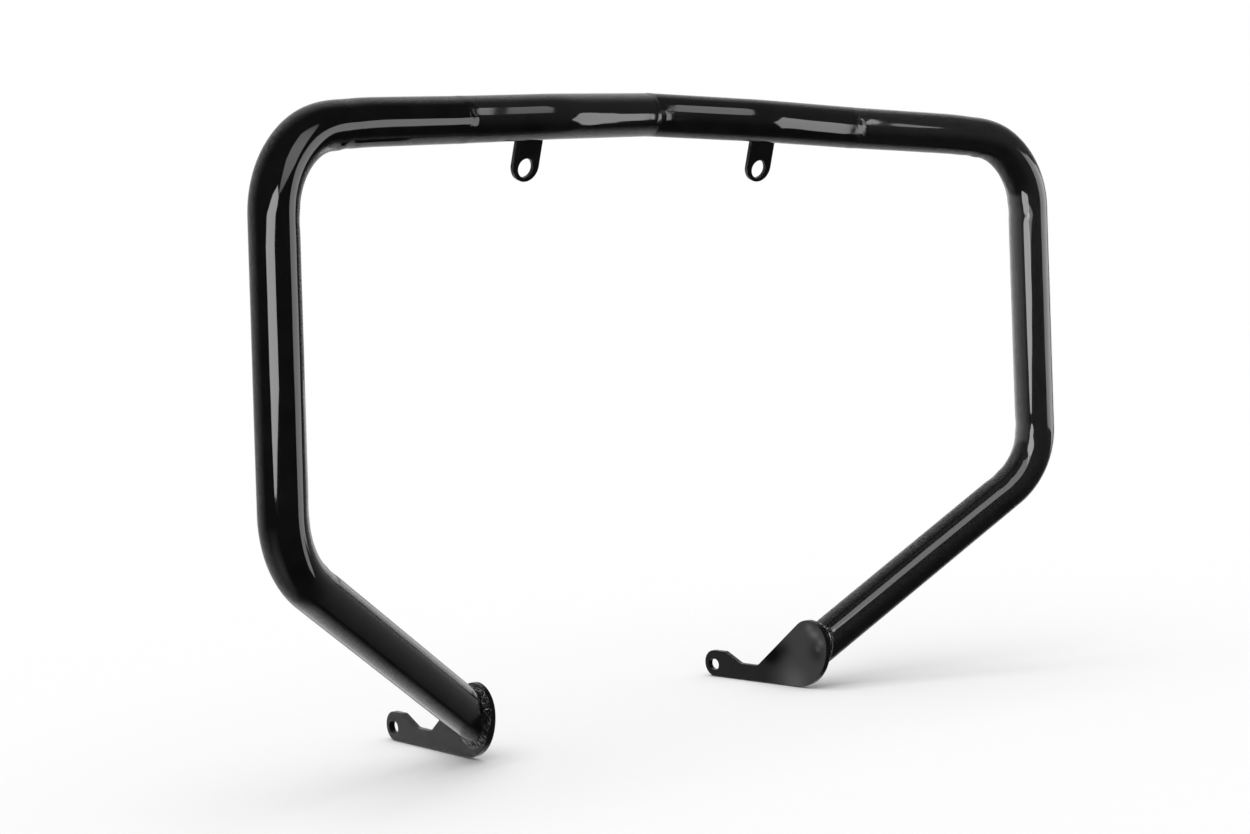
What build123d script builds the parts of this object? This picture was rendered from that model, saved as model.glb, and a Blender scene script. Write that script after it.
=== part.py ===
from build123d import *
from math import cos, radians, sin, tan
import os

# Crash bar for a motorcycle: bent steel tubes butt-welded into one bar, with two hanging tabs
# and two foot plates. +X is the rider's right, +Y runs rearwards and +Z is up. The foot plates'
# lower edges lie on Z = 0. The right-hand pieces are drawn and the left-hand ones mirror them.

# Tube
tube_od = 32.0
tube_wall = 2.5
bend_radius = 60.0  # to the tube's axis, at the side tube's corners
kink_radius = 200.0  # to the tube's axis, at the centre tube's slight bend

# Bar: half spans are measured along X, from the middle plane to the tube's axis
corner_half_span = 356.5
joint_half_span = 188.5  # butt joint between the side tube and the centre tube
kink_half_span = 100.0  # slight bend in the centre tube
corner_setback = 98.8  # the top corners stand this far in front of the middle of the bar's depth
side_sweep = 10.3  # degrees rearwards, from the top corner to the butt joint
tab_sweep = 5.2  # degrees rearwards, from the butt joint to the kink
centre_sweep = 13.25  # degrees rearwards, from the kink to the middle
top_rise = 3.15  # degrees upwards, from the top corner to the middle
leg_height = 272.2  # from the lower corner to the top corner
leg_splay = 1.0  # degrees outwards, going down
leg_rake = 1.77  # degrees rearwards, going down
foot_sweep = 23.0  # degrees rearwards, from the lower corner to the plate
foot_fall = 35.3  # degrees downwards, from the lower corner to the plate
low_height = 166.8  # lower corner above the plates' lower edges

# Foot plates: reaches are measured along the plate, from the tube's axis rearwards
plate_half_span = 168.8  # to the plate's outer face, where the tube's axis meets it
plate_toe = 2.0  # degrees: the plates' rear ends stand closer together
plate_thickness = 5.0
plate_edge = 0.5  # chamfer
pad_radius = 20.0
pad_lead = 1.3  # the pad's middle lies this far in front of the tube's axis
heel_radius = 36.0  # from the pad's front down to the lower edge
notch_slope = 38.2  # degrees, from the pad down to the notch
notch_height = 13.7
notch_radius = 9.0
ramp_slope = 26.0  # degrees, from the notch up to the arm
ramp_radius = 10.0
shoulder_back = 13.1  # from the middle of the arm's round end forwards to the shoulder
shoulder_radius = 4.0
arm_height = 22.2
arm_reach = 111.1  # to the middle of the arm's round end
slot_lead = 0.7  # the slot's middle lies this far behind the middle of the round end
slot_height = 10.3
slot_length = 12.0
slot_width = 9.0

# Tabs
tab_half_span = 112.2
tab_width = 23.4
tab_thickness = 4.0
tab_turn = 2.6  # degrees: the tab turns with the tube, towards the middle of the bar's back
tab_lean = 19.0  # degrees: the lower end stands back
tab_drop = 40.8  # from the tab's seat on the tube down to its hole
tab_end = 10.0  # from the hole's middle down to the tab's round end
tab_rise = 6.0  # the tab runs this far above its seat
tab_seat = 1.0  # depth of the tab's cope around the tube
tab_hole = 13.9
tab_edge = 0.5  # chamfer

# Welds
butt_height = 0.9  # above the tube, at the crown
butt_crown_radius = 5.5  # across the bead
foot_weld_leg = 3.8
tab_weld_radius = 3.2
tab_weld_inset = 1.5  # the bead stops this far short of the tab's sides

tube_radius = tube_od / 2
slot_reach = arm_reach + slot_lead
shoulder_reach = arm_reach - shoulder_back
bore_radius = tube_radius - tube_wall
cut_spare = tube_od  # a run is made this much too long before its end is cut


def slope(angle):
    return tan(radians(angle))


# Corners of the tube's axis, from the plate up to the middle of the bar
low_half_span = corner_half_span + leg_height * slope(leg_splay)
low_setback = corner_setback - leg_height * slope(leg_rake)
foot_span = low_half_span - plate_half_span
top_corner = Vector(corner_half_span, -corner_setback, low_height + leg_height)
low_corner = Vector(low_half_span, -low_setback, low_height)
foot_point = low_corner + Vector(-1, slope(foot_sweep), -slope(foot_fall)) * foot_span


def inwards(start, half_span, sweep):
    """The axis point at a half span, reached from start by a run that sweeps back and rises."""
    along = start.X - half_span
    return start + Vector(-along, along * slope(sweep), along * slope(top_rise))


joint_point = inwards(top_corner, joint_half_span, side_sweep)
kink_point = inwards(joint_point, kink_half_span, tab_sweep)
middle_point = inwards(kink_point, 0, centre_sweep)
side_run = (joint_point - top_corner).normalized()
tab_run = (kink_point - joint_point).normalized()
centre_run = (middle_point - kink_point).normalized()
foot_run = (foot_point - low_corner).normalized()

joint_plane = Plane(origin=joint_point, x_dir=side_run - tab_run, z_dir=side_run + tab_run)
middle_plane = Plane(origin=middle_point, x_dir=(0, centre_run.Y, centre_run.Z), z_dir=(-1, 0, 0))
plate_plane = Plane(
    origin=(foot_point.X, foot_point.Y, 0),
    x_dir=(-sin(radians(plate_toe)), cos(radians(plate_toe)), 0),
    z_dir=(cos(radians(plate_toe)), sin(radians(plate_toe)), 0),
)
end_slant = foot_run.dot(plate_plane.z_dir)
end_plane = Plane(
    origin=foot_point,
    x_dir=foot_run - plate_plane.z_dir * end_slant,
    z_dir=plate_plane.z_dir,
)


def bent_rod(points, bend, radius):
    """A solid rod along straight runs, with a rounded bend at each corner."""
    with BuildPart() as rod:
        with BuildLine() as axis:
            FilletPolyline(*points, radius=bend)
        with BuildSketch(Plane(origin=axis.line @ 0, z_dir=axis.line % 0)):
            Circle(radius)
        sweep()
    return rod.part


def side_rod(radius):
    """The side tube's route as a solid, mitred at the joint and cut flat against the plate."""
    start = joint_point + side_run * cut_spare
    end = foot_point + foot_run * cut_spare
    with BuildPart() as rod:
        add(bent_rod([start, top_corner, low_corner, end], bend_radius, radius))
        with BuildSketch(joint_plane):
            Circle(tube_od)
        extrude(amount=2 * cut_spare, mode=Mode.SUBTRACT)
        with BuildSketch(end_plane):
            Circle(2 * tube_od)
        extrude(amount=-2 * cut_spare, mode=Mode.SUBTRACT)
    return rod.part


def centre_rod(radius):
    """The centre tube's route as a solid, mitred at the joint and at the middle."""
    start = joint_point - tab_run * cut_spare
    end = middle_point + centre_run * cut_spare
    with BuildPart() as rod:
        add(bent_rod([start, kink_point, end], kink_radius, radius))
        split(bisect_by=joint_plane, keep=Keep.TOP)
        split(bisect_by=middle_plane, keep=Keep.BOTTOM)
    return rod.part


def mirrored(part):
    with BuildPart() as other:
        mirror(part, about=Plane.YZ)
    return other.part


def keep(part, name):
    part.label = name
    export_step(part, f"parts/{name}.step")


def butt_bead(plane, turn):
    """A domed bead around the tube where two runs meet on a mitre plane."""
    with BuildPart() as bead:
        with BuildSketch(Plane(origin=plane.origin, x_dir=plane.x_dir, z_dir=plane.y_dir)):
            with Locations((tube_radius / cos(turn) + butt_height - butt_crown_radius, 0)):
                Circle(butt_crown_radius)
        revolve(axis=Axis(plane.origin, plane.z_dir))
    return bead.part


side_core = side_rod(tube_radius)
centre_core = centre_rod(tube_radius)

with BuildPart() as side_tube:
    add(side_core)
    add(side_rod(bore_radius), mode=Mode.SUBTRACT)

with BuildPart() as centre_tube:
    add(centre_core)
    add(centre_rod(bore_radius), mode=Mode.SUBTRACT)

# Foot plate: a round pad around the tube's end and a notched arm running back to the slot
pad_centre = Vector(-pad_lead, heel_radius)
heel_centre = pad_centre + Vector(heel_radius - pad_radius, 0)
slope_top = pad_centre + Vector(sin(radians(notch_slope)), cos(radians(notch_slope))) * pad_radius
notch = slope_top + Vector(1 / slope(notch_slope), -1) * (slope_top.Y - notch_height)
shoulder = Vector(shoulder_reach, arm_height)
ramp = shoulder - Vector(1 / slope(ramp_slope), 1) * (arm_height - notch_height)
arm_middle = Vector(arm_reach, arm_height / 2)

with BuildPart() as plate:
    with BuildSketch(plate_plane) as plate_outline:
        with BuildLine():
            pad_arc = CenterArc(pad_centre, pad_radius, 90 - notch_slope, 90 + notch_slope)
            heel_arc = CenterArc(heel_centre, heel_radius, 180, 90)
            end_arc = CenterArc(arm_middle, arm_height / 2, -90, 180)
            Line(heel_arc @ 1, end_arc @ 0)
            Polyline(end_arc @ 1, shoulder, ramp, notch, pad_arc @ 0)
        make_face()
        for corner, radius in ((notch, notch_radius), (ramp, ramp_radius), (shoulder, shoulder_radius)):
            fillet(plate_outline.vertices().sort_by_distance(corner)[0], radius)
        with Locations((slot_reach, slot_height)):
            SlotOverall(slot_length, slot_width, mode=Mode.SUBTRACT)
    extrude(amount=-plate_thickness)
    chamfer(plate.faces().filter_by(plate_plane).edges(), plate_edge)

# Tab: a flat strip coped around the back of the tube, hanging down to its hole
tab_across = Vector(cos(radians(tab_turn)), -sin(radians(tab_turn)), 0)
tab_back = Vector(sin(radians(tab_turn)), cos(radians(tab_turn)), slope(tab_lean))
tab_axis_point = inwards(joint_point, tab_half_span, tab_sweep)
tab_plane = Plane(
    origin=tab_axis_point + tab_back.normalized() * (tube_radius - tab_seat),
    x_dir=tab_across,
    z_dir=tab_back,
)
tab_end_middle = tab_drop + tab_end - tab_width / 2

with BuildPart() as tab:
    with BuildSketch(tab_plane):
        with Locations((0, (tab_end_middle - tab_rise) / 2)):
            Rectangle(tab_width, tab_end_middle + tab_rise)
        with Locations((0, tab_end_middle)):
            Circle(tab_width / 2)
        with Locations((0, tab_drop)):
            Circle(tab_hole / 2, mode=Mode.SUBTRACT)
    extrude(amount=tab_thickness)
    chamfer(tab.faces().filter_by(tab_plane).edges(), tab_edge)
    add(centre_core, mode=Mode.SUBTRACT)

# Welds: each bead is cut away where it would run into the pieces that it joins
joint_turn = radians(side_run.get_angle(tab_run)) / 2
middle_turn = radians(centre_run.get_angle(Vector(-1, 0, 0)))

with BuildPart() as top_weld:
    add(butt_bead(joint_plane, joint_turn))
    add(side_core, mode=Mode.SUBTRACT)
    add(centre_core, mode=Mode.SUBTRACT)

with BuildPart() as centre_weld:
    add(butt_bead(middle_plane, middle_turn))
    add(centre_core, mode=Mode.SUBTRACT)
    add(mirrored(centre_core), mode=Mode.SUBTRACT)

# The foot bead runs from the plate up to the slanted tube
end_major = tube_radius / abs(end_slant)
bead_top = Plane(
    origin=foot_point + foot_run * (foot_weld_leg / end_slant),
    x_dir=end_plane.x_dir,
    z_dir=end_plane.z_dir,
)
with BuildPart() as plate_weld:
    with BuildSketch(end_plane):
        Ellipse(end_major + foot_weld_leg, tube_radius + foot_weld_leg)
    with BuildSketch(bead_top):
        Ellipse(end_major, tube_radius)
    loft(ruled=True)
    add(side_core, mode=Mode.SUBTRACT)

tab_weld_reach = tab_width / 2 - tab_weld_inset - tab_weld_radius
tab_weld_middle = (0, -tab_rise, tab_thickness / 2)
with BuildPart() as tab_weld:
    with BuildSketch(Plane(origin=tab_plane.from_local_coords(tab_weld_middle), x_dir=tab_across,
                           z_dir=tab_back)):
        SlotCenterToCenter(2 * tab_weld_reach, 2 * tab_weld_radius)
        Rectangle(tab_width, 2 * tab_weld_radius, align=(Align.CENTER, Align.MAX), mode=Mode.SUBTRACT)
    revolve(axis=Axis(tab_plane.from_local_coords(tab_weld_middle), tab_across))
    add(tab.part, mode=Mode.SUBTRACT)
    add(centre_core, mode=Mode.SUBTRACT)

os.makedirs("parts", exist_ok=True)
keep(centre_weld.part, "centre_weld")
pairs = {
    "side_tube": side_tube.part,
    "centre_tube": centre_tube.part,
    "tab": tab.part,
    "plate": plate.part,
    "top_weld": top_weld.part,
    "tab_weld": tab_weld.part,
    "plate_weld": plate_weld.part,
}
for name, part in pairs.items():
    keep(mirrored(part), f"left_{name}")
    keep(part, f"right_{name}")
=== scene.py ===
import bpy
import bmesh
import math
from mathutils import Matrix, Vector, noise


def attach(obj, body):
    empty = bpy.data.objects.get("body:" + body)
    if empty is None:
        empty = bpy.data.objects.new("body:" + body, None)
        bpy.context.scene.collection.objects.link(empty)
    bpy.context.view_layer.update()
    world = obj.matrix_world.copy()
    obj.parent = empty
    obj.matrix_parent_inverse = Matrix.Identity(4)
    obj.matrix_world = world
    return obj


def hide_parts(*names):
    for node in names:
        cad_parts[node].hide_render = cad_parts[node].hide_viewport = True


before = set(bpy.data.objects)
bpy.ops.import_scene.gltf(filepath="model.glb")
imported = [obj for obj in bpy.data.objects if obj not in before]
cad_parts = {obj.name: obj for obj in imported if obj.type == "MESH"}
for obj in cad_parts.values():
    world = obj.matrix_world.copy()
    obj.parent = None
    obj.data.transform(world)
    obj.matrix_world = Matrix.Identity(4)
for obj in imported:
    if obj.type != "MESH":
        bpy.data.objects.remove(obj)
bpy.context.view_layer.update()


def slope(angle):
    return math.tan(math.radians(angle))


# Sizes in metres, in the part's own frame: +X to the rider's right, +Y rearwards, +Z up.
# Slopes, sweeps and rises are in degrees.
TUBE_R = 0.016
BORE_R = 0.0135
BEND_R = 0.060
KINK_R = 0.200
CORNER_X = 0.3565
CORNER_Y = -0.0988
LOW_Z = 0.1668
LEG_HEIGHT = 0.2722
LEG_SPLAY = 1.0
LEG_RAKE = 1.77
FOOT_SWEEP = 23.0
FOOT_FALL = 35.3
JOINT_X = 0.1885
KINK_X = 0.100
SIDE_SWEEP = 10.3
TAB_SWEEP = 5.2
CENTRE_SWEEP = 13.25
TOP_RISE = 3.15
SEAM_SLIDE = 0.007  # the top bar's joints and slight bends lie this far to the left of even
PLATE_X = 0.1688
PLATE_T = 0.005
PLATE_TOE = math.radians(2.0)
TAB_X = 0.1122
TAB_T = 0.004
TAB_LEAN = math.radians(19.0)
TAB_TURN = math.radians(2.6)
TAB_SEAT = 0.001

# Corners of the right-hand tube's axis, from the plate up to the middle of the top bar
low_corner = Vector((CORNER_X + LEG_HEIGHT * slope(LEG_SPLAY), CORNER_Y + LEG_HEIGHT * slope(LEG_RAKE), LOW_Z))
top_corner = Vector((CORNER_X, CORNER_Y, LOW_Z + LEG_HEIGHT))
foot = low_corner + (low_corner.x - PLATE_X) * Vector((-1, slope(FOOT_SWEEP), -slope(FOOT_FALL)))


def inwards(start, span, sweep):
    """The point of the top bar's axis that lies a span further in, on a run that sweeps back and rises."""
    return start + span * Vector((-1, slope(sweep), slope(TOP_RISE)))


joint = inwards(top_corner, CORNER_X - JOINT_X, SIDE_SWEEP)
kink = inwards(joint, JOINT_X - KINK_X, TAB_SWEEP)
middle = inwards(kink, KINK_X, CENTRE_SWEEP)
tab_axis = inwards(joint, JOINT_X - TAB_X, TAB_SWEEP)
centre_run = (middle - kink).normalized()
foot_run = (foot - low_corner).normalized()
plate_normal = Vector((math.cos(PLATE_TOE), math.sin(PLATE_TOE), 0))
plate_back = Vector((-math.sin(PLATE_TOE), math.cos(PLATE_TOE), 0))
RIGHT = Vector((1, 0, 0))
UP = Vector((0, 0, 1))
SIDES = {"left": -1, "right": 1}


def slid(point, towards):
    """A point of the right-hand axis, moved along it for the uneven joints."""
    return point + (towards - point).normalized() * SEAM_SLIDE


side_joint = {-1: slid(joint, top_corner), 1: slid(joint, kink)}
side_kink = {-1: slid(kink, joint), 1: slid(kink, middle)}

# Pieces
MERGE_DISTANCE = 1e-7


def new_piece(name, points, faces, material, side=1):
    """A smooth mesh in place of the CAD node of the same name, mirrored for the left side."""
    mesh = bpy.data.meshes.new(name)
    mesh.from_pydata([(p[0] * side, p[1], p[2]) for p in points], [], faces)
    return dress(name, mesh, material, side < 0)


def dress(name, mesh, material, flipped):
    """Put a mesh in the scene, in place of the CAD node of the same name."""
    cleaner = bmesh.new()
    cleaner.from_mesh(mesh)
    bmesh.ops.remove_doubles(cleaner, verts=cleaner.verts, dist=MERGE_DISTANCE)
    if flipped:
        bmesh.ops.reverse_faces(cleaner, faces=cleaner.faces)
    cleaner.to_mesh(mesh)
    cleaner.free()
    mesh.polygons.foreach_set("use_smooth", [True] * len(mesh.polygons))
    mesh.materials.append(material)
    piece = bpy.data.objects.new(f"{name}_visual", mesh)
    bpy.context.scene.collection.objects.link(piece)
    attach(piece, "root")
    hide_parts(name)
    return piece


def ring_faces(rings, around):
    """Quads between neighbouring rings of points, each ring closed on itself."""
    faces = []
    for i in range(rings - 1):
        for j in range(around):
            k = (j + 1) % around
            faces.append((i * around + j, i * around + k, (i + 1) * around + k, (i + 1) * around + j))
    return faces


# Tubes
RUN_STEP = 0.0025
BEND_STEP = math.radians(1.5)
AROUND = 80
MITRE_BLEND = 0.045  # the slant of a mitred end fades out over this length


def route(corners, bend_r):
    """Stations along the straight runs and round bends: place, direction, way to the bend's middle."""
    stations = []

    def straight(start, end):
        count = max(2, round((end - start).length / RUN_STEP))
        way = (end - start).normalized()
        for i in range(count):
            stations.append((start.lerp(end, i / count), way, None))

    last = corners[0]
    for before, corner, after in zip(corners, corners[1:], corners[2:]):
        run_in = (corner - before).normalized()
        run_out = (after - corner).normalized()
        turn = run_in.angle(run_out)
        cut = bend_r * math.tan(turn / 2)
        centre = corner + (run_out - run_in).normalized() * bend_r / math.cos(turn / 2)
        axis = run_in.cross(run_out)
        arm = corner - run_in * cut - centre
        straight(last, corner - run_in * cut)
        count = max(2, round(turn / BEND_STEP), round(turn * bend_r / RUN_STEP))
        for i in range(count):
            spin = Matrix.Rotation(turn * i / count, 3, axis)
            stations.append((centre + spin @ arm, spin @ run_in, -(spin @ arm).normalized()))
        last = corner + run_out * cut
    straight(last, corners[-1])
    stations.append((corners[-1], (corners[-1] - last).normalized(), None))
    return stations


def lengths_along(stations):
    along = [0.0]
    for (a, _, _), (b, _, _) in zip(stations, stations[1:]):
        along.append(along[-1] + (b - a).length)
    return along


def hump(distance, width):
    """1 in the middle, falling off smoothly to both sides."""
    return math.exp(-(distance / width) ** 2)


# The bender's traces: each bend has a dent inside, just outside its start and end, and a swelling just within.
# The tube sags a little past the start of its first bend.
MARK_DEPTH = 0.00045
MARK_SWELL = 0.00030
MARK_LENGTH = 0.0045
DENT_BEFORE = 0.004
SWELL_AFTER = 0.006
SAG_DEPTH = 0.0012
SAG_LENGTH = 0.018
SAG_AFTER = 0.004
# Uneven surface all along, and ripples beside the butt welds
WAVE_DEPTH = 0.00005
WAVE_SCALE = 45
WAVE_AROUND = 1.5
SEAM_DEPTH = 0.00010
SEAM_SCALE = 190
SEAM_LENGTH = 0.007
SEAM_REACH = 3 * TUBE_R


def bend_ends(stations, along):
    """Where each bend starts and ends: length along, way to the bend's middle, and +1 or -1 into the bend."""
    ends = []
    for i in range(1, len(stations)):
        before, after = stations[i - 1][2], stations[i][2]
        if after and not before:
            ends.append((along[i], after, 1))
        if before and not after:
            ends.append((along[i], before, -1))
    return ends


def surface_offset(out, s, ends, place, cuts):
    """How far the tube's surface stands off its true radius."""
    offset = WAVE_DEPTH * noise.noise(place * WAVE_SCALE + out * WAVE_AROUND)
    for at, inside, into in ends:
        facing = max(0.0, out.dot(inside)) ** 2
        offset -= MARK_DEPTH * facing * hump(s - at + into * DENT_BEFORE, MARK_LENGTH)
        offset += MARK_SWELL * facing * hump(s - at - into * SWELL_AFTER, MARK_LENGTH)
    surface = place + out * TUBE_R
    for end, plane in cuts:
        if (surface - end).length < SEAM_REACH:
            near = hump((surface - end).dot(plane), SEAM_LENGTH)
            offset += SEAM_DEPTH * near * noise.noise(surface * SEAM_SCALE)
    return offset


def hollow_faces(count):
    """Faces of a hollow tube with so many stations: its wall, its bore and the rims at both ends."""
    wall = ring_faces(count, AROUND)
    bore = count * AROUND
    faces = wall + [tuple(bore + k for k in reversed(face)) for face in wall]
    for start, turned in ((0, False), ((count - 1) * AROUND, True)):
        for j in range(AROUND):
            k = (j + 1) % AROUND
            quad = (start + k, start + j, bore + start + j, bore + start + k)
            faces.append(tuple(reversed(quad)) if turned else quad)
    return faces


def tube(name, corners, bend_r, first_normal, last_normal, marked, material, side):
    """A hollow tube, its ends cut on planes, with the traces that bending and welding leave."""
    stations = route(corners, bend_r)
    along = lengths_along(stations)
    ends = bend_ends(stations, along) if marked else []
    cuts = ((corners[0], first_normal), (corners[-1], last_normal))
    normal = stations[0][1].orthogonal().normalized()
    outer = []
    bore = []
    for (place, way, _), s in zip(stations, along):
        normal = (normal - way * normal.dot(way)).normalized()
        across = way.cross(normal)
        shifts = (
            (first_normal, max(0.0, 1 - s / MITRE_BLEND)),
            (last_normal, max(0.0, 1 - (along[-1] - s) / MITRE_BLEND)),
        )
        if ends:
            place = place + ends[0][1] * SAG_DEPTH * hump(s - ends[0][0] - SAG_AFTER, SAG_LENGTH)
        for j in range(AROUND):
            angle = 2 * math.pi * j / AROUND
            out = normal * math.cos(angle) + across * math.sin(angle)
            proud = surface_offset(out, s, ends, place, cuts)
            for ring, radius in ((outer, TUBE_R), (bore, BORE_R)):
                point = place + out * (radius + proud)
                for plane, weight in shifts:
                    if weight > 0:
                        point = point - way * weight * radius * out.dot(plane) / way.dot(plane)
                ring.append(point)
    return new_piece(name, outer + bore, hollow_faces(len(stations)), material, side)


# Welds
BEAD_STEPS = 360
BEAD_ROWS = 12
LUMP_SCALE = 330
WOBBLE_SCALE = 2.5
WOBBLE_PHASE = 0.6


def closed_bead(name, section, material, side=1):
    """A bead that closes on itself: section(angle) gives the points of its cut at that angle."""
    points = []
    for i in range(BEAD_STEPS):
        points += section(2 * math.pi * i / BEAD_STEPS)
    around = len(points) // BEAD_STEPS
    faces = []
    for i in range(BEAD_STEPS):
        k = (i + 1) % BEAD_STEPS
        for j in range(around):
            n = (j + 1) % around
            faces.append((i * around + j, k * around + j, k * around + n, i * around + n))
    return new_piece(name, points, faces, material, side)


def ripple(angle, count, seed):
    """Overlapping weld scales: a saw-like wave with some unevenness."""
    wobble = noise.noise(Vector((math.cos(angle), math.sin(angle), seed)) * WOBBLE_SCALE)
    phase = (angle * count / (2 * math.pi) + WOBBLE_PHASE * wobble) % 1.0
    return 1 - phase ** 2, wobble


# Butt welds: the bead's height and half width, with what its scales, its wobble and its lumps add
BUTT_SCALES = 44
BUTT_HEIGHT = 0.00014
BUTT_SCALE_HEIGHT = 0.00003
BUTT_WOBBLE_HEIGHT = 0.00005
BUTT_LUMP_HEIGHT = 0.00012
BUTT_HALF = 0.0048
BUTT_WOBBLE_HALF = 0.0010
BUTT_EDGE_SINK = 0.00005
BUTT_ROOT_SHARE = 0.6
BUTT_ROOT_DEPTH = 0.0018
CENTRE_SEED = 7


def butt_section(place, plane_normal, major_way, turn, seed):
    """A nearly flush bead around a butt joint, following both tubes."""
    minor_way = plane_normal.cross(major_way)
    major = TUBE_R / math.cos(turn)

    def section(angle):
        scale, wobble = ripple(angle, BUTT_SCALES, seed)
        centre = place + major_way * major * math.cos(angle) + minor_way * TUBE_R * math.sin(angle)
        out = (major_way * math.cos(angle) / major + minor_way * math.sin(angle) / TUBE_R).normalized()
        height = BUTT_HEIGHT + BUTT_SCALE_HEIGHT * scale + BUTT_WOBBLE_HEIGHT * wobble
        half = BUTT_HALF + BUTT_WOBBLE_HALF * wobble
        points = []
        for j in range(BEAD_ROWS + 1):
            x = half * (1 - 2 * j / BEAD_ROWS)
            crown = math.cos(math.pi / 2 * x / half)
            rise = height * crown - BUTT_EDGE_SINK
            point = centre + plane_normal * x - major_way * abs(x) * math.tan(turn)
            lump = noise.noise(point * LUMP_SCALE) * BUTT_LUMP_HEIGHT * crown
            points.append(point + out * (rise + lump))
        root = plane_normal * half * BUTT_ROOT_SHARE
        points.append(centre - root - out * BUTT_ROOT_DEPTH)
        points.append(centre + root - out * BUTT_ROOT_DEPTH)
        return points

    return section


# Foot welds: the fillet's leg and swelling, with what its scales, its wobble and its lumps add
FOOT_SCALES = 40
FOOT_LEG = 0.0036
FOOT_WOBBLE_LEG = 0.0006
FOOT_SWELL = 0.0002
FOOT_SCALE_SWELL = 0.0005
FOOT_LUMP_SWELL = 0.0008
FOOT_EDGE_SINK = 0.0001
FOOT_ROOT_IN = 0.0008
FOOT_ROOT_UP = 0.0005
FOOT_SEED = 3
# Where they start and stop: a thicker lump at the front of the tube
BEAD_START = math.radians(212)
BEAD_START_REACH = math.radians(32)
START_LEG = 0.0020
START_LUMP_SWELL = 0.0008


def foot_section(seed):
    """An uneven fillet around the slanted end of the tube on its plate."""
    slant = abs(foot_run.dot(plate_normal))
    major_way = (foot_run - plate_normal * foot_run.dot(plate_normal)).normalized()
    minor_way = plate_normal.cross(major_way)
    major = TUBE_R / slant

    def section(angle):
        scale, wobble = ripple(angle, FOOT_SCALES, seed)
        centre = foot + major_way * major * math.cos(angle) + minor_way * TUBE_R * math.sin(angle)
        out = (major_way * math.cos(angle) / major + minor_way * math.sin(angle) / TUBE_R).normalized()
        start = hump(angle - BEAD_START, BEAD_START_REACH)
        leg = FOOT_LEG + FOOT_WOBBLE_LEG * wobble + START_LEG * start
        toe = centre + out * leg
        top = centre - foot_run * leg / slant
        bulge = (out - foot_run).normalized()
        points = []
        for j in range(BEAD_ROWS + 1):
            share = j / BEAD_ROWS
            point = toe.lerp(top, share)
            lump = noise.noise(point * LUMP_SCALE + RIGHT * seed) * (FOOT_LUMP_SWELL + START_LUMP_SWELL * start)
            swell = (FOOT_SWELL + FOOT_SCALE_SWELL * scale + lump) * math.sin(math.pi * share)
            points.append(point + bulge * swell - (out + plate_normal) * FOOT_EDGE_SINK)
        points.append(centre - out * FOOT_ROOT_IN + plate_normal * FOOT_ROOT_UP)
        return points

    return section


# Flat pieces
EDGE_R = 0.0006
EDGE_STEPS = 2
ROUND_STEPS = 40
CORNER_STEPS = 8
NOTCH_STEPS = 12
SLOT_STEPS = 20
HOLE_STEPS = 48
FLAT_WEIGHT = 100  # how strongly the flat faces rule the shading of their rounded edges


def arc(centre, radius, start, sweep, count):
    """Points along an arc, from its start angle over its sweep, both in degrees."""
    points = []
    for i in range(count + 1):
        angle = math.radians(start + sweep * i / count)
        points.append(Vector((centre[0] + radius * math.cos(angle), centre[1] + radius * math.sin(angle))))
    return points


def rounded(before, corner, after, radius, count):
    """The arc that rounds off a corner of an outline."""
    a = (before - corner).normalized()
    b = (after - corner).normalized()
    half = a.angle(b) / 2
    centre = corner + (a + b).normalized() * radius / math.sin(half)
    first = corner + a * radius / math.tan(half) - centre
    last = corner + b * radius / math.tan(half) - centre
    start = math.degrees(math.atan2(first.y, first.x))
    return arc(centre, radius, start, -math.degrees(first.angle_signed(last)), count)


def flat_piece(name, loops, thickness, place, material, side):
    """A flat piece cut from sheet, with rounded edges: the first loop is its outline, others are holes."""
    curve = bpy.data.curves.new(f"{name}_outline", "CURVE")
    curve.dimensions = "2D"
    curve.fill_mode = "BOTH"
    curve.extrude = thickness / 2 - EDGE_R
    curve.bevel_depth = EDGE_R
    curve.bevel_resolution = EDGE_STEPS
    curve.offset = -EDGE_R
    for loop in loops:
        spline = curve.splines.new("POLY")
        spline.points.add(len(loop) - 1)
        for point, place_2d in zip(spline.points, loop):
            point.co = (place_2d.x, place_2d.y, 0, 1)
        spline.use_cyclic_u = True
    source = bpy.data.objects.new(f"{name}_outline", curve)
    bpy.context.scene.collection.objects.link(source)
    shown = source.evaluated_get(bpy.context.evaluated_depsgraph_get())
    mesh = bpy.data.meshes.new_from_object(shown)
    bpy.data.objects.remove(source)
    bpy.data.curves.remove(curve)
    mesh.materials.clear()
    mesh.transform(Matrix.Diagonal((side, 1, 1, 1)) @ place)
    piece = dress(name, mesh, material, side < 0)
    smooth = piece.modifiers.new("flat_faces", "WEIGHTED_NORMAL")
    smooth.weight = FLAT_WEIGHT
    return piece


# Foot plate: reaches are measured rearwards from the tube's axis, heights from the lower edge
PAD_R = 0.020
PAD_LEAD = 0.0013
HEEL_R = 0.036
NOTCH_SLOPE = 38.2
NOTCH_H = 0.0137
NOTCH_R = 0.009
RAMP_SLOPE = 26.0
RAMP_R = 0.010
SHOULDER_REACH = 0.098
SHOULDER_R = 0.004
ARM_H = 0.0222
ARM_REACH = 0.1111
SLOT_REACH = 0.1118
SLOT_H = 0.0103
SLOT_HALF = 0.0015
SLOT_R = 0.0045


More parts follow.
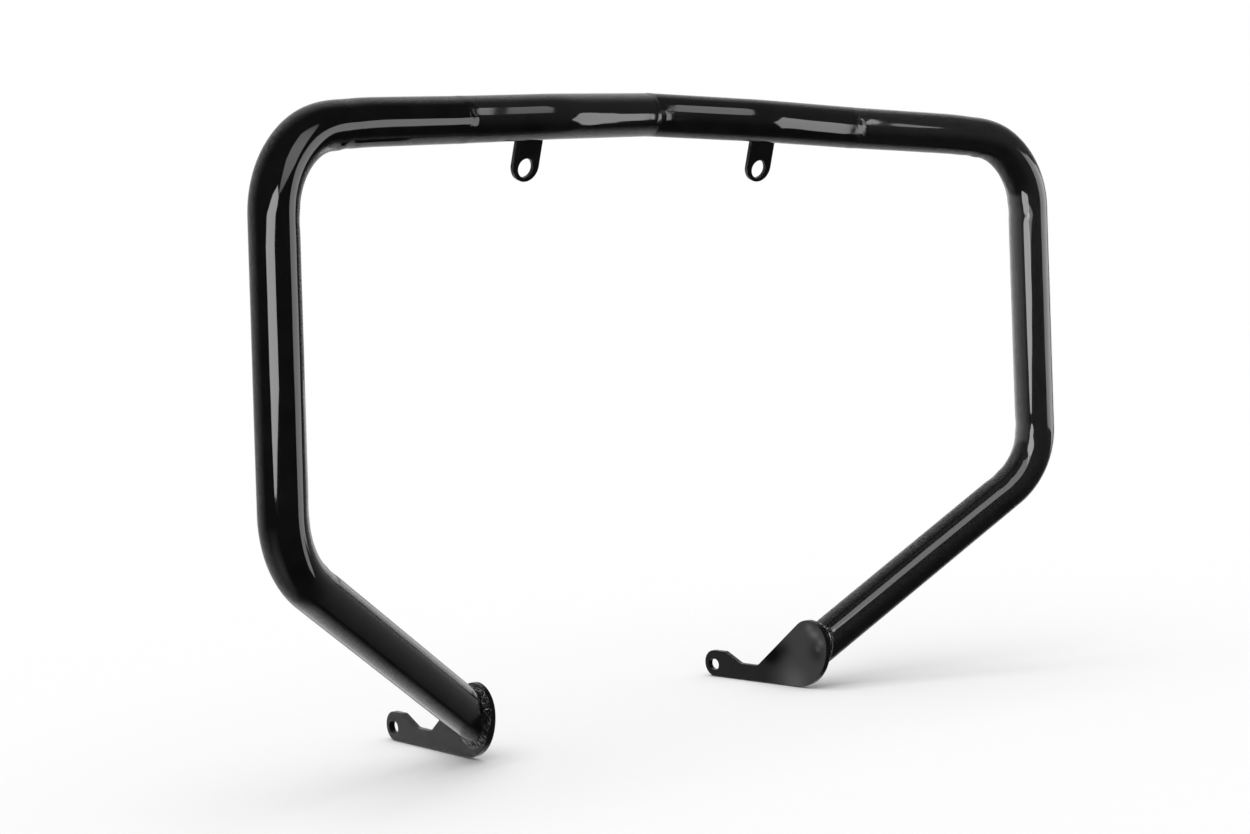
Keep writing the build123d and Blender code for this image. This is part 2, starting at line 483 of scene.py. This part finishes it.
def plate_loops():
    """The foot plate's outline and slot, measured rearwards and upwards from under the tube's axis."""
    pad = Vector((-PAD_LEAD, HEEL_R))
    heel = pad + Vector((HEEL_R - PAD_R, 0))
    fall = math.radians(NOTCH_SLOPE)
    slope_top = pad + PAD_R * Vector((math.sin(fall), math.cos(fall)))
    notch = slope_top + (slope_top.y - NOTCH_H) * Vector((1 / math.tan(fall), -1))
    shoulder = Vector((SHOULDER_REACH, ARM_H))
    ramp_foot = shoulder - (ARM_H - NOTCH_H) * Vector((1 / slope(RAMP_SLOPE), 1))
    outline = arc(pad, PAD_R, 90 - NOTCH_SLOPE, 90 + NOTCH_SLOPE, ROUND_STEPS)
    outline += arc(heel, HEEL_R, 180, 90, ROUND_STEPS)[1:]
    outline += arc((ARM_REACH, ARM_H / 2), ARM_H / 2, -90, 180, ROUND_STEPS)
    outline += rounded(outline[-1], shoulder, ramp_foot, SHOULDER_R, CORNER_STEPS)
    outline += rounded(shoulder, ramp_foot, notch, RAMP_R, CORNER_STEPS)
    outline += rounded(ramp_foot, notch, slope_top, NOTCH_R, NOTCH_STEPS)
    slot_middle = Vector((SLOT_REACH, SLOT_H))
    slot_half = Vector((SLOT_HALF, 0))
    slot = arc(slot_middle + slot_half, SLOT_R, -90, 180, SLOT_STEPS)
    slot += arc(slot_middle - slot_half, SLOT_R, 90, 180, SLOT_STEPS)
    return [outline, slot]


# Tab: lengths are measured downwards from its seat on the tube
TAB_HALF = 0.0117
TAB_RISE = 0.006
TAB_DROP = 0.0408
TAB_END = 0.010
TAB_HOLE_R = 0.00695


def tab_loops():
    """The tab's outline and hole, measured downwards from its seat on the tube."""
    outline = [Vector((-TAB_HALF, -TAB_RISE)), Vector((TAB_HALF, -TAB_RISE))]
    outline += arc((0, TAB_DROP + TAB_END - TAB_HALF), TAB_HALF, 0, 180, ROUND_STEPS)
    hole = arc((0, TAB_DROP), TAB_HOLE_R, 0, 360, HOLE_STEPS)[:-1]
    return [outline, hole]


def placed(origin, x_way, y_way):
    """The matrix that carries a flat outline to its place."""
    z_way = x_way.cross(y_way)
    return Matrix.Translation(origin) @ Matrix((x_way, y_way, z_way)).transposed().to_4x4()


# Materials: the coat's patches of tone and of gloss, by their noise scale and detail
TONE_PATCHES = (60, 4)
TONE_SPAN = (0.35, 0.70)
GLOSS_PATCHES = (140, 3)
PEEL_DETAIL = 2
COAT_IOR = 1.5


def coat(name, dark, pale, smooth, dull, peel, depth):
    """Black powder coat: patches of tone and gloss, with a fine orange-peel surface."""
    material = bpy.data.materials.new(name)
    material.use_nodes = True
    nodes = material.node_tree.nodes
    links = material.node_tree.links
    shader = nodes["Principled BSDF"]
    shader.inputs["IOR"].default_value = COAT_IOR
    place = nodes.new("ShaderNodeTexCoord")

    def cloud(scale, detail):
        texture = nodes.new("ShaderNodeTexNoise")
        texture.inputs["Scale"].default_value = scale
        texture.inputs["Detail"].default_value = detail
        links.new(place.outputs["Object"], texture.inputs["Vector"])
        return texture.outputs["Fac"]

    tone = nodes.new("ShaderNodeValToRGB")
    for stop, position, colour in zip(tone.color_ramp.elements, TONE_SPAN, (dark, pale)):
        stop.position = position
        stop.color = (*colour, 1)
    links.new(cloud(*TONE_PATCHES), tone.inputs["Fac"])
    links.new(tone.outputs["Color"], shader.inputs["Base Color"])
    gloss = nodes.new("ShaderNodeMapRange")
    gloss.inputs["To Min"].default_value = smooth
    gloss.inputs["To Max"].default_value = dull
    links.new(cloud(*GLOSS_PATCHES), gloss.inputs["Value"])
    links.new(gloss.outputs["Result"], shader.inputs["Roughness"])
    bump = nodes.new("ShaderNodeBump")
    bump.inputs["Strength"].default_value = 1.0
    bump.inputs["Distance"].default_value = depth
    links.new(cloud(peel, PEEL_DETAIL), bump.inputs["Height"])
    links.new(bump.outputs["Normal"], shader.inputs["Normal"])
    return material


tube_coat = coat("tube_coat", dark=(0.0035, 0.0035, 0.0035), pale=(0.0055, 0.0055, 0.006),
                 smooth=0.03, dull=0.07, peel=420, depth=0.0000025)
flat_coat = coat("flat_coat", dark=(0.006, 0.006, 0.006), pale=(0.009, 0.009, 0.0095),
                 smooth=0.06, dull=0.10, peel=500, depth=0.0000015)
weld_coat = coat("weld_coat", dark=(0.004, 0.004, 0.004), pale=(0.0065, 0.0065, 0.007),
                 smooth=0.05, dull=0.14, peel=900, depth=0.00001)

# The pieces of both sides; those that the stage's cards shine on are kept by a short name
lit = {}
for side_name, side in SIDES.items():
    seam, bend = side_joint[side], side_kink[side]
    side_run = (seam - top_corner).normalized()
    tab_run = (bend - seam).normalized()
    seam_normal = (side_run + tab_run).normalized()
    seam_major = (side_run - tab_run).normalized()
    seam_turn = side_run.angle(tab_run) / 2
    lit[f"{side_name}_side"] = tube(
        f"{side_name}_side_tube", [seam, top_corner, low_corner, foot], BEND_R,
        seam_normal, plate_normal, marked=True, material=tube_coat, side=side)
    lit[f"{side_name}_centre"] = tube(
        f"{side_name}_centre_tube", [seam, bend, middle], KINK_R,
        seam_normal, RIGHT, marked=False, material=tube_coat, side=side)
    lit[f"{side_name}_seam"] = closed_bead(
        f"{side_name}_top_weld", butt_section(seam, seam_normal, seam_major, seam_turn, side), weld_coat, side)
    lit[f"{side_name}_foot"] = closed_bead(
        f"{side_name}_plate_weld", foot_section(FOOT_SEED + side), weld_coat, side)
    plate_middle = Vector((foot.x, foot.y, 0)) - plate_normal * PLATE_T / 2
    lit[f"{side_name}_plate"] = flat_piece(
        f"{side_name}_plate", plate_loops(), PLATE_T, placed(plate_middle, plate_back, UP), flat_coat, side)
    tab_across = Vector((math.cos(TAB_TURN), -math.sin(TAB_TURN), 0))
    tab_back = Vector((math.sin(TAB_TURN), math.cos(TAB_TURN), math.tan(TAB_LEAN))).normalized()
    tab_middle = tab_axis + tab_back * (TUBE_R - TAB_SEAT + TAB_T / 2)
    tab_place = placed(tab_middle, tab_across, tab_back.cross(tab_across))
    flat_piece(f"{side_name}_tab", tab_loops(), TAB_T, tab_place, flat_coat, side)
middle_major = Vector((0, centre_run.y, centre_run.z)).normalized()
middle_turn = centre_run.angle(-RIGHT)
lit["centre_seam"] = closed_bead(
    "centre_weld", butt_section(middle, RIGHT, middle_major, middle_turn, CENTRE_SEED), weld_coat)

# The tab welds keep their CAD solids
for side_name in SIDES:
    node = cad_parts[f"{side_name}_tab_weld"]
    node.data.materials.clear()
    node.data.materials.append(weld_coat)

# Camera at the photograph's viewing angle
CAMERA_EYE = Vector((-1.0186, -1.2312, 0.3090))
CAMERA_YAW = math.radians(39.4)
CAMERA_PITCH = math.radians(-2.70)
CAMERA_ROLL = math.radians(3.12)
FOCAL_PIXELS = 2100
IMAGE_WIDTH = 1250
SENSOR_WIDTH = 36
forward = Vector((
    math.sin(CAMERA_YAW) * math.cos(CAMERA_PITCH),
    math.cos(CAMERA_YAW) * math.cos(CAMERA_PITCH),
    math.sin(CAMERA_PITCH),
))
level_right = Vector((math.cos(CAMERA_YAW), -math.sin(CAMERA_YAW), 0))
level_down = forward.cross(level_right)
right = math.cos(CAMERA_ROLL) * level_right + math.sin(CAMERA_ROLL) * level_down
down = math.cos(CAMERA_ROLL) * level_down - math.sin(CAMERA_ROLL) * level_right
lens = bpy.data.cameras.new("camera")
lens.sensor_width = SENSOR_WIDTH
lens.lens = SENSOR_WIDTH * FOCAL_PIXELS / IMAGE_WIDTH
camera = bpy.data.objects.new("camera", lens)
camera.matrix_world = Matrix.Translation(CAMERA_EYE) @ Matrix((right, -down, -forward)).transposed().to_4x4()
bpy.context.scene.collection.objects.link(camera)
bpy.context.scene.camera = camera
bpy.context.scene.view_settings.view_transform = "Standard"

# Stage: a pale floor in a white studio
FLOOR_TONE = 0.998
FLOOR_ROUGHNESS = 0.9
FLOOR_HALF = 12.0
FLOOR_DROP = 0.0003


def stage_mesh(name, points, faces, material):
    """A mesh that belongs to the stage and not to the part."""
    mesh = bpy.data.meshes.new(name)
    mesh.from_pydata([tuple(p) for p in points], [], faces)
    mesh.materials.append(material)
    item = bpy.data.objects.new(name, mesh)
    bpy.context.scene.collection.objects.link(item)
    return item


floor_paint = bpy.data.materials.new("floor_paint")
floor_paint.use_nodes = True
floor_inputs = floor_paint.node_tree.nodes["Principled BSDF"].inputs
floor_inputs["Base Color"].default_value = (FLOOR_TONE, FLOOR_TONE, FLOOR_TONE, 1)
floor_inputs["Roughness"].default_value = FLOOR_ROUGHNESS
floor_inputs["Specular IOR Level"].default_value = 0.0
floor_corners = [(x * FLOOR_HALF, y * FLOOR_HALF, 0) for x, y in ((-1, -1), (1, -1), (1, 1), (-1, 1))]
floor = stage_mesh("floor", floor_corners, [(0, 1, 2, 3)], floor_paint)
floor.location.z = -FLOOR_DROP
floor.visible_glossy = False

# Soft light from above the camera, with an even fill from the world, which is itself seen as white
FILL = 0.5
LAMP_HEIGHT = math.radians(69)
LAMP_SPREAD = math.radians(70)
world = bpy.data.worlds.new("studio")
world.use_nodes = True
sky = world.node_tree.nodes
rays = sky.new("ShaderNodeLightPath")
seen_ray = sky.new("ShaderNodeMath")
seen_ray.operation = "MAXIMUM"
clear_ray = sky.new("ShaderNodeMath")
clear_ray.operation = "MAXIMUM"
level = sky.new("ShaderNodeMapRange")
level.inputs["To Min"].default_value = FILL
level.inputs["To Max"].default_value = 1.0
sky["Background"].inputs["Color"].default_value = (1, 1, 1, 1)
for start, end in (
    (rays.outputs["Is Camera Ray"], seen_ray.inputs[0]),
    (rays.outputs["Is Glossy Ray"], seen_ray.inputs[1]),
    (rays.outputs["Is Transmission Ray"], clear_ray.inputs[0]),
    (seen_ray.outputs["Value"], clear_ray.inputs[1]),
    (clear_ray.outputs["Value"], level.inputs["Value"]),
    (level.outputs["Result"], sky["Background"].inputs["Strength"]),
):
    world.node_tree.links.new(start, end)
bpy.context.scene.world = world

lamp_data = bpy.data.lights.new("lamp", "SUN")
lamp_data.energy = (1 - FILL) * math.pi / math.sin(LAMP_HEIGHT)
lamp_data.angle = LAMP_SPREAD
lamp = bpy.data.objects.new("lamp", lamp_data)
lamp.rotation_euler = (math.pi / 2 - LAMP_HEIGHT, 0, -CAMERA_YAW)
lamp.visible_glossy = False
bpy.context.scene.collection.objects.link(lamp)

# The room that the gloss shows: dark around the camera, with a pale studio behind the object.
# The edge between them, in degrees from the camera's side, lies further back on the right than on the left.
ROOM_R = 6.0
ROOM_STEPS = 72
ROOM_TONE = 0.6
ROOM_EDGE = (80, 128)
ROOM_SHIFT_RIGHT = 45
ROOM_SHIFT_LEFT = 18
to_camera = Vector((-math.sin(CAMERA_YAW), -math.cos(CAMERA_YAW), 0))


def mix(first, last, share):
    return first + (last - first) * share


def ramp(value, low, high):
    """0 up to low and 1 from high, with a smooth rise between them."""
    step = max(0.0, min(1.0, (value - low) / (high - low)))
    return step * step * (3 - 2 * step)


def room_tone(way):
    """How bright the room looks from the object, in one direction."""
    turned = math.degrees(way.angle(to_camera))
    rightness = way.dot(level_right)
    turned -= ROOM_SHIFT_RIGHT * max(0.0, rightness) + ROOM_SHIFT_LEFT * min(0.0, rightness)
    return ROOM_TONE * ramp(turned, *ROOM_EDGE)


# Directions all around, on rings from the top down
ROOM_RINGS = ROOM_STEPS // 2
dome_ways = []
for i in range(ROOM_RINGS + 1):
    polar = math.pi * i / ROOM_RINGS
    for j in range(ROOM_STEPS):
        turn = 2 * math.pi * j / ROOM_STEPS
        flat = math.sin(polar)
        dome_ways.append(Vector((flat * math.cos(turn), flat * math.sin(turn), math.cos(polar))))


def glow_card(name, points, faces, tones, clear):
    """A glowing surface that only the gloss shows; a clear one leaves what is behind it in sight."""
    material = bpy.data.materials.new(name)
    material.use_nodes = True
    nodes = material.node_tree.nodes
    links = material.node_tree.links
    nodes.remove(nodes["Principled BSDF"])
    tone = nodes.new("ShaderNodeAttribute")
    tone.attribute_name = "tone"
    emission = nodes.new("ShaderNodeEmission")
    links.new(tone.outputs["Fac"], emission.inputs["Strength"])
    seen = emission.outputs["Emission"]
    if clear:
        both = nodes.new("ShaderNodeAddShader")
        links.new(seen, both.inputs[0])
        links.new(nodes.new("ShaderNodeBsdfTransparent").outputs["BSDF"], both.inputs[1])
        seen = both.outputs["Shader"]
    links.new(seen, nodes["Material Output"].inputs["Surface"])
    material.cycles.emission_sampling = "NONE"
    card = stage_mesh(name, points, faces, material)
    card.data.attributes.new("tone", "FLOAT", "POINT").data.foreach_set("value", tones)
    card.visible_camera = False
    card.visible_diffuse = False
    card.visible_transmission = False
    card.visible_volume_scatter = False
    card.visible_shadow = False
    return card


def dome(name, radius, tones, clear):
    """A glowing sphere around the whole stage, with a tone for each of the dome's directions."""
    faces = ring_faces(ROOM_RINGS + 1, ROOM_STEPS)
    return glow_card(name, [way * radius for way in dome_ways], faces, tones, clear)


dome("room", ROOM_R, [room_tone(way) for way in dome_ways], clear=False)

# Softboxes: most are the mirror image of a streak on one straight run, as the camera sees it.
# Those for bends and welds are far away, and placed by direction.
BOX_NEAR = 0.25
BOX_FAR = 0.6
BOX_DISTANT = 5.0
BOX_STEPS = 6
TIP_SHARE = 0.16  # a streak's tip is seen from this share of its run


def mirrored_place(a, b, t, s, across, away):
    """Where a camera ray ends that meets the tube's picture at t along a run and s across it."""
    way = (b - a).normalized()
    axis_point = a.lerp(b, t)
    side_way = (axis_point - CAMERA_EYE).cross(way).normalized()
    if side_way.dot(across) < 0:
        side_way.negate()
    ray = (axis_point + side_way * TUBE_R * s - CAMERA_EYE).normalized()
    from_axis = CAMERA_EYE - a
    start = from_axis - way * from_axis.dot(way)
    heading = ray - way * ray.dot(way)
    inner = start.dot(heading)
    outside = start.length_squared - TUBE_R ** 2
    reach = -inner - math.sqrt(inner ** 2 - heading.length_squared * outside)
    point = CAMERA_EYE + ray * reach / heading.length_squared
    normal = point - a
    normal = (normal - way * normal.dot(way)).normalized()
    return point + ray.reflect(normal) * away


def light_only(card, pieces):
    """Let a card shine on the named pieces alone."""
    receivers = bpy.data.collections.new(f"{card.name}_lit")
    for piece in pieces:
        receivers.objects.link(lit[piece])
    card.light_linking.receiver_collection = receivers


def grid_faces(rows, columns):
    """Quads between neighbouring rows of points."""
    faces = []
    for i in range(rows - 1):
        for j in range(columns - 1):
            first = i * columns + j
            faces.append((first, first + 1, first + columns + 1, first + columns))
    return faces


def sky_way(turn, height):
    """A direction from its turn to the right of the camera and its height above level, in degrees."""
    flat = to_camera * math.cos(math.radians(turn)) + level_right * math.sin(math.radians(turn))
    return flat * math.cos(math.radians(height)) + UP * math.sin(math.radians(height))


def streak(name, pieces, run, across, tones, cuts, away=BOX_FAR, tip=()):
    """A softbox for one run, with a tone for each of its edges.

    Cuts give t along the run, the streak's two edges across the tube and, where it isn't 1, its strength.
    A tip carries the streak on into the bend before the run: pairs of directions, for its two edges.
    """
    shares = [i / BOX_STEPS for i in range(BOX_STEPS + 1)]
    tip_place = run[0].lerp(run[1], TIP_SHARE) + to_camera * TUBE_R
    points = []
    values = []
    for first, last in tip:
        for share in shares:
            points.append(tip_place + sky_way(*first).lerp(sky_way(*last), share).normalized() * away)
            values.append(mix(*tones, share))
    for t, first, last, *strength in cuts:
        for share in shares:
            points.append(mirrored_place(*run, t, mix(first, last, share), across, away))
            values.append(mix(*tones, share) * (strength[0] if strength else 1))
    faces = grid_faces(len(tip) + len(cuts), len(shares))
    light_only(glow_card(name, points, faces, values, clear=True), pieces)


def far_box(name, pieces, centre, rows):
    """A distant softbox: rows of turn to the right of the camera, height above level (degrees) and tone."""
    points = []
    values = []
    for row in rows:
        for turn, height, tone in row:
            points.append(centre + sky_way(turn, height) * BOX_DISTANT)
            values.append(tone)
    faces = grid_faces(len(rows), len(rows[0]))
    light_only(glow_card(name, points, faces, values, clear=True), pieces)


def even(tone, *ways):
    """A far box's row that has the same tone all along."""
    return [(turn, height, tone) for turn, height in ways]


def left_of(point):
    """The mirror image of a point of the right-hand side."""
    return Vector((-point.x, point.y, point.z))


# The straight runs, and the softboxes of the streaks on them
left_leg = (left_of(top_corner), left_of(low_corner))
left_tab = (left_of(side_joint[-1]), left_of(side_kink[-1]))
left_middle = (left_of(side_kink[-1]), middle)
left_low = (left_of(low_corner), left_of(foot))
right_middle = (middle, side_kink[1])
right_tab = (side_kink[1], side_joint[1])
right_bar = (side_joint[1], top_corner)
right_leg = (top_corner, low_corner)
right_low = (low_corner, foot)

streak("box_left_leg", ["left_side"], left_leg, right, (7.4, 7.0),
       [(0.22, -0.28, 0.06), (0.28, -0.33, 0.0), (0.60, -0.33, 0.0), (0.70, -0.32, -0.10),
        (0.84, -0.30, -0.22)],
       tip=[((20.5, 20), (22, 19.5)), ((3, 16.4), (30, 11.5)), ((-8, 9.8), (27, 6.4))])
far_box("window_left", ["left_side", "left_seam"], left_leg[0],
        [even(2.8, (82, 5.5), (88, 7), (93, 5), (98, 4.4), (102, 4.4), (110, 4.4), (120, 4.4)),
         even(2.8, (82, -8), (87, -26), (93, -27), (98, -20), (102, -13), (112, -12), (120, -4.6))])
far_box("box_left_low_bend", ["left_side"], left_low[0],
        [[(-20, -15, 0), (-55, -15, 0.05), (-80, -15, 0.05), (-110, -10, 0)],
         [(-20, -35, 0.05), (-55, -35, 0.4), (-80, -35, 0.2), (-110, -30, 0)],
         [(-20, -55, 0.1), (-55, -55, 0.5), (-85, -55, 0.2), (-115, -50, 0)],
         [(-20, -78, 0), (-55, -78, 0.1), (-90, -75, 0.1), (-120, -70, 0)]])
far_box("box_left_bend", ["left_side"], left_leg[0],
        [[(30, 12, 1.6), (43, 12, 2.0), (58, 12, 2.5), (71, 11.5, 2.6), (74, 16, 2.6), (76, 24, 2.0),
          (78, 34, 0.8)],
         [(30, 12.5, 1.6), (31, 16, 2.0), (33, 24, 2.5), (33, 33, 2.6), (40, 41, 2.6), (52, 48, 2.0),
          (76, 38, 0.8)]])
streak("box_left_tab", ["left_centre", "left_seam"], left_tab, down, (3.0, 3.2),
       [(0.17, -0.40, -0.18), (0.19, -0.46, -0.17), (0.37, -0.46, -0.17)])
streak("box_left_tab_2", ["left_centre"], left_tab, down, (1.8, 1.8),
       [(0.50, -0.45, -0.17), (0.90, -0.45, -0.17), (0.99, -0.28, -0.17)])
streak("box_left_middle", ["left_centre", "centre_seam"], left_middle, down, (3.5, 3.3),
       [(-0.38, 0.12, 0.17), (0.0, -0.06, 0.26), (0.14, -0.11, 0.30), (0.32, -0.14, 0.42),
        (0.48, -0.12, 0.38), (0.66, -0.06, 0.28), (1.0, -0.05, 0.24), (1.06, 0.0, 0.16)])
streak("box_right_middle", ["right_centre"], right_middle, down, (2.7, 2.9),
       [(0.20, -0.50, -0.24), (0.25, -0.53, -0.22), (0.88, -0.53, -0.23), (0.97, -0.38, -0.28)])
streak("box_centre_patch", ["right_centre", "centre_seam"], right_middle, down, (4.4, 4.0),
       [(0.02, -0.20, 0.16), (0.08, -0.24, 0.24), (0.20, -0.20, 0.20)])
streak("box_right_tab", ["right_centre", "right_seam"], right_tab, down, (4.4, 4.0),
       [(-0.42, 0.0, 0.04), (-0.02, -0.20, 0.20), (0.14, -0.26, 0.28), (0.38, -0.22, 0.24),
        (0.55, -0.20, 0.28), (0.94, -0.17, 0.33), (1.01, -0.14, 0.20)])
streak("box_right_bar", ["right_side"], right_bar, down, (3.2, 3.2),
       [(0.22, -0.33, -0.24), (0.25, -0.36, -0.22), (0.36, -0.33, -0.22), (0.50, -0.29, -0.25)])
streak("box_right_bar_2", ["right_side", "right_seam"], right_bar, down, (4.0, 4.4),
       [(0.075, -0.34, -0.21), (0.095, -0.49, -0.20), (0.13, -0.48, -0.20), (0.148, -0.28, -0.20)])
streak("box_right_leg", ["right_side", "right_foot"], right_leg, right, (8.0, 7.6),
       [(0.12, -0.18, 0.12), (0.22, -0.24, 0.0), (0.30, -0.24, 0.05), (0.50, -0.24, 0.06),
        (0.68, -0.23, -0.04), (0.86, -0.20, -0.14)])
far_box("window_right", ["right_side"], right_leg[0],
        [even(3.0, (71, 3), (80, 8), (92, 13), (106, 13), (119, 13), (130, 8)),
         [(71, -9, 3.0), (80, -9, 3.0), (92, -9, 3.0), (106, -10, 3.0), (119, -15, 2.4), (126, -18, 1.6)]])
streak("box_right_leg_rim", ["right_side"], right_leg, right, (1.1, 0.5),
       [(-0.9, -0.97, -0.30, 0), (-0.3, -0.97, -0.30), (1.3, -0.97, -0.30), (1.9, -0.97, -0.30, 0)],
       BOX_DISTANT)

# A faint painted sheen over whole pieces, from dim glowing domes that only those pieces reflect:
# each dome's radius, its tone from below, and how much more from above.
# Each dome has a radius of its own, since clear domes that coincide hide each other.
SHEEN_SPAN = (-0.6, 0.2)
SHEEN_DOMES = {
    "sheen_right": (["right_side", "right_seam"], 5.8, 0.04, 0.23),
    "sheen_left": (["left_side", "left_seam"], 5.75, 0.0, 0.022),
    "sheen_centre": (["left_centre", "right_centre", "centre_seam"], 5.7, 0.0, 0.14),
}
for sheen_name, (sheened_pieces, radius, from_below, more_above) in SHEEN_DOMES.items():
    tones = [from_below + more_above * ramp(way.z, *SHEEN_SPAN) for way in dome_ways]
    light_only(dome(sheen_name, radius, tones, clear=True), sheened_pieces)

# Softboxes of the lower runs
streak("box_right_low", ["right_side", "right_foot"], right_low, down, (3.3, 3.5),
       [(0.06, -0.22, 0.04), (0.50, -0.27, 0.0), (0.93, -0.26, -0.02), (1.0, -0.30, 0.02)])
streak("box_left_low", ["left_side"], left_low, down, (0.75, 0.65),
       [(0.15, -0.95, -0.78), (0.92, -0.95, -0.76)])
streak("box_left_low_sheen", ["left_side"], left_low, down, (0.5, 0.1),
       [(-0.25, -0.72, 0.30, 0), (0.25, -0.72, 0.30, 0.8), (1.0, -0.72, 0.30)], BOX_NEAR)
streak("box_left_low_rim", ["left_side"], left_low, down, (0.0, 0.85),
       [(-0.15, 0.38, 0.95, 0), (0.15, 0.38, 0.95), (0.98, 0.38, 0.95)], BOX_NEAR)

# The right plate's inner face mirrors a flag, a dim card close by, whose tone is a painted reflection: dark on
# the arm, paler on the pad and uneven behind the weld. Reaches and heights are measured on the plate.
FLAG_AWAY = 0.03
FLAG_STEPS = 60
FLAG_REACH = (-0.030, 0.130)
FLAG_HEIGHT = (-0.010, 0.070)
ARM_TONE = 0.26
PAD_TONE = 0.80
ARM_EDGE = 0.052  # the pad's tone fades to the arm's over the last stretch before this reach
ARM_FADE = 0.030
# Painted highlights and dark spots in the flag's tone, which the face mirrors: reach, height, radius, and how
# much paler
FLAG_SPOTS = (
    (0.043, 0.023, 0.008, -0.35),
    (0.034, 0.026, 0.009, -0.45),
    (0.026, 0.031, 0.007, -0.35),
    (-0.003, 0.050, 0.0035, 1.1),
    (-0.006, 0.045, 0.0030, 0.8),
    (-0.010, 0.045, 0.0030, 1.2),
    (-0.015, 0.039, 0.0030, 1.2),
    (-0.0095, 0.030, 0.0075, -0.50),
    (-0.0117, 0.0335, 0.0022, 1.1),
    (0.016, 0.003, 0.012, 0.75),
)


def flag_tone(reach, height):
    """The flag's tone that the plate's face mirrors at one place."""
    tone = mix(ARM_TONE, PAD_TONE, ramp(ARM_EDGE - reach, 0, ARM_FADE))
    for spot_reach, spot_height, radius, paler in FLAG_SPOTS:
        tone += paler * hump(math.hypot(reach - spot_reach, height - spot_height), radius)
    return max(0.0, tone)


flag_points = []
flag_tones = []
for i in range(FLAG_STEPS + 1):
    reach = mix(*FLAG_REACH, i / FLAG_STEPS)
    for j in range(FLAG_STEPS + 1):
        height = mix(*FLAG_HEIGHT, j / FLAG_STEPS)
        point = Vector((foot.x, foot.y, height)) - plate_normal * PLATE_T + plate_back * reach
        flag_points.append(point + (point - CAMERA_EYE).normalized().reflect(plate_normal) * FLAG_AWAY)
        flag_tones.append(flag_tone(reach, height))
flag_faces = grid_faces(FLAG_STEPS + 1, FLAG_STEPS + 1)
flag = glow_card("flag_right", flag_points, flag_faces, flag_tones, clear=False)
light_only(flag, ["right_plate"])

# Foot welds: a distant softbox each
far_box("box_left_foot", ["left_foot"], left_of(foot),
        [even(16.0, (-8, 50), (22, 50)), even(16.0, (-8, 61), (22, 61))])
far_box("box_right_foot", ["right_foot"], foot,
        [even(6.0, (132, -8), (168, -8)), even(6.0, (132, 26), (168, 26))])

# Glints on the foot welds' uneven surface: the dome's radius, its tone, and the noise up to which it is dark
GLINT_SCALE = 3.5
GLINT_EDGE = 0.15
GLINTS = {"left": (5.6, 1.6, 0.20), "right": (5.5, 3.0, 0.20)}
for side_name, (radius, strength, sparse) in GLINTS.items():
    patches = [noise.noise(way * GLINT_SCALE) for way in dome_ways]
    tones = [strength * ramp(patch, sparse, sparse + GLINT_EDGE) for patch in patches]
    light_only(dome(f"glints_{side_name}", radius, tones, clear=True), [f"{side_name}_foot"])
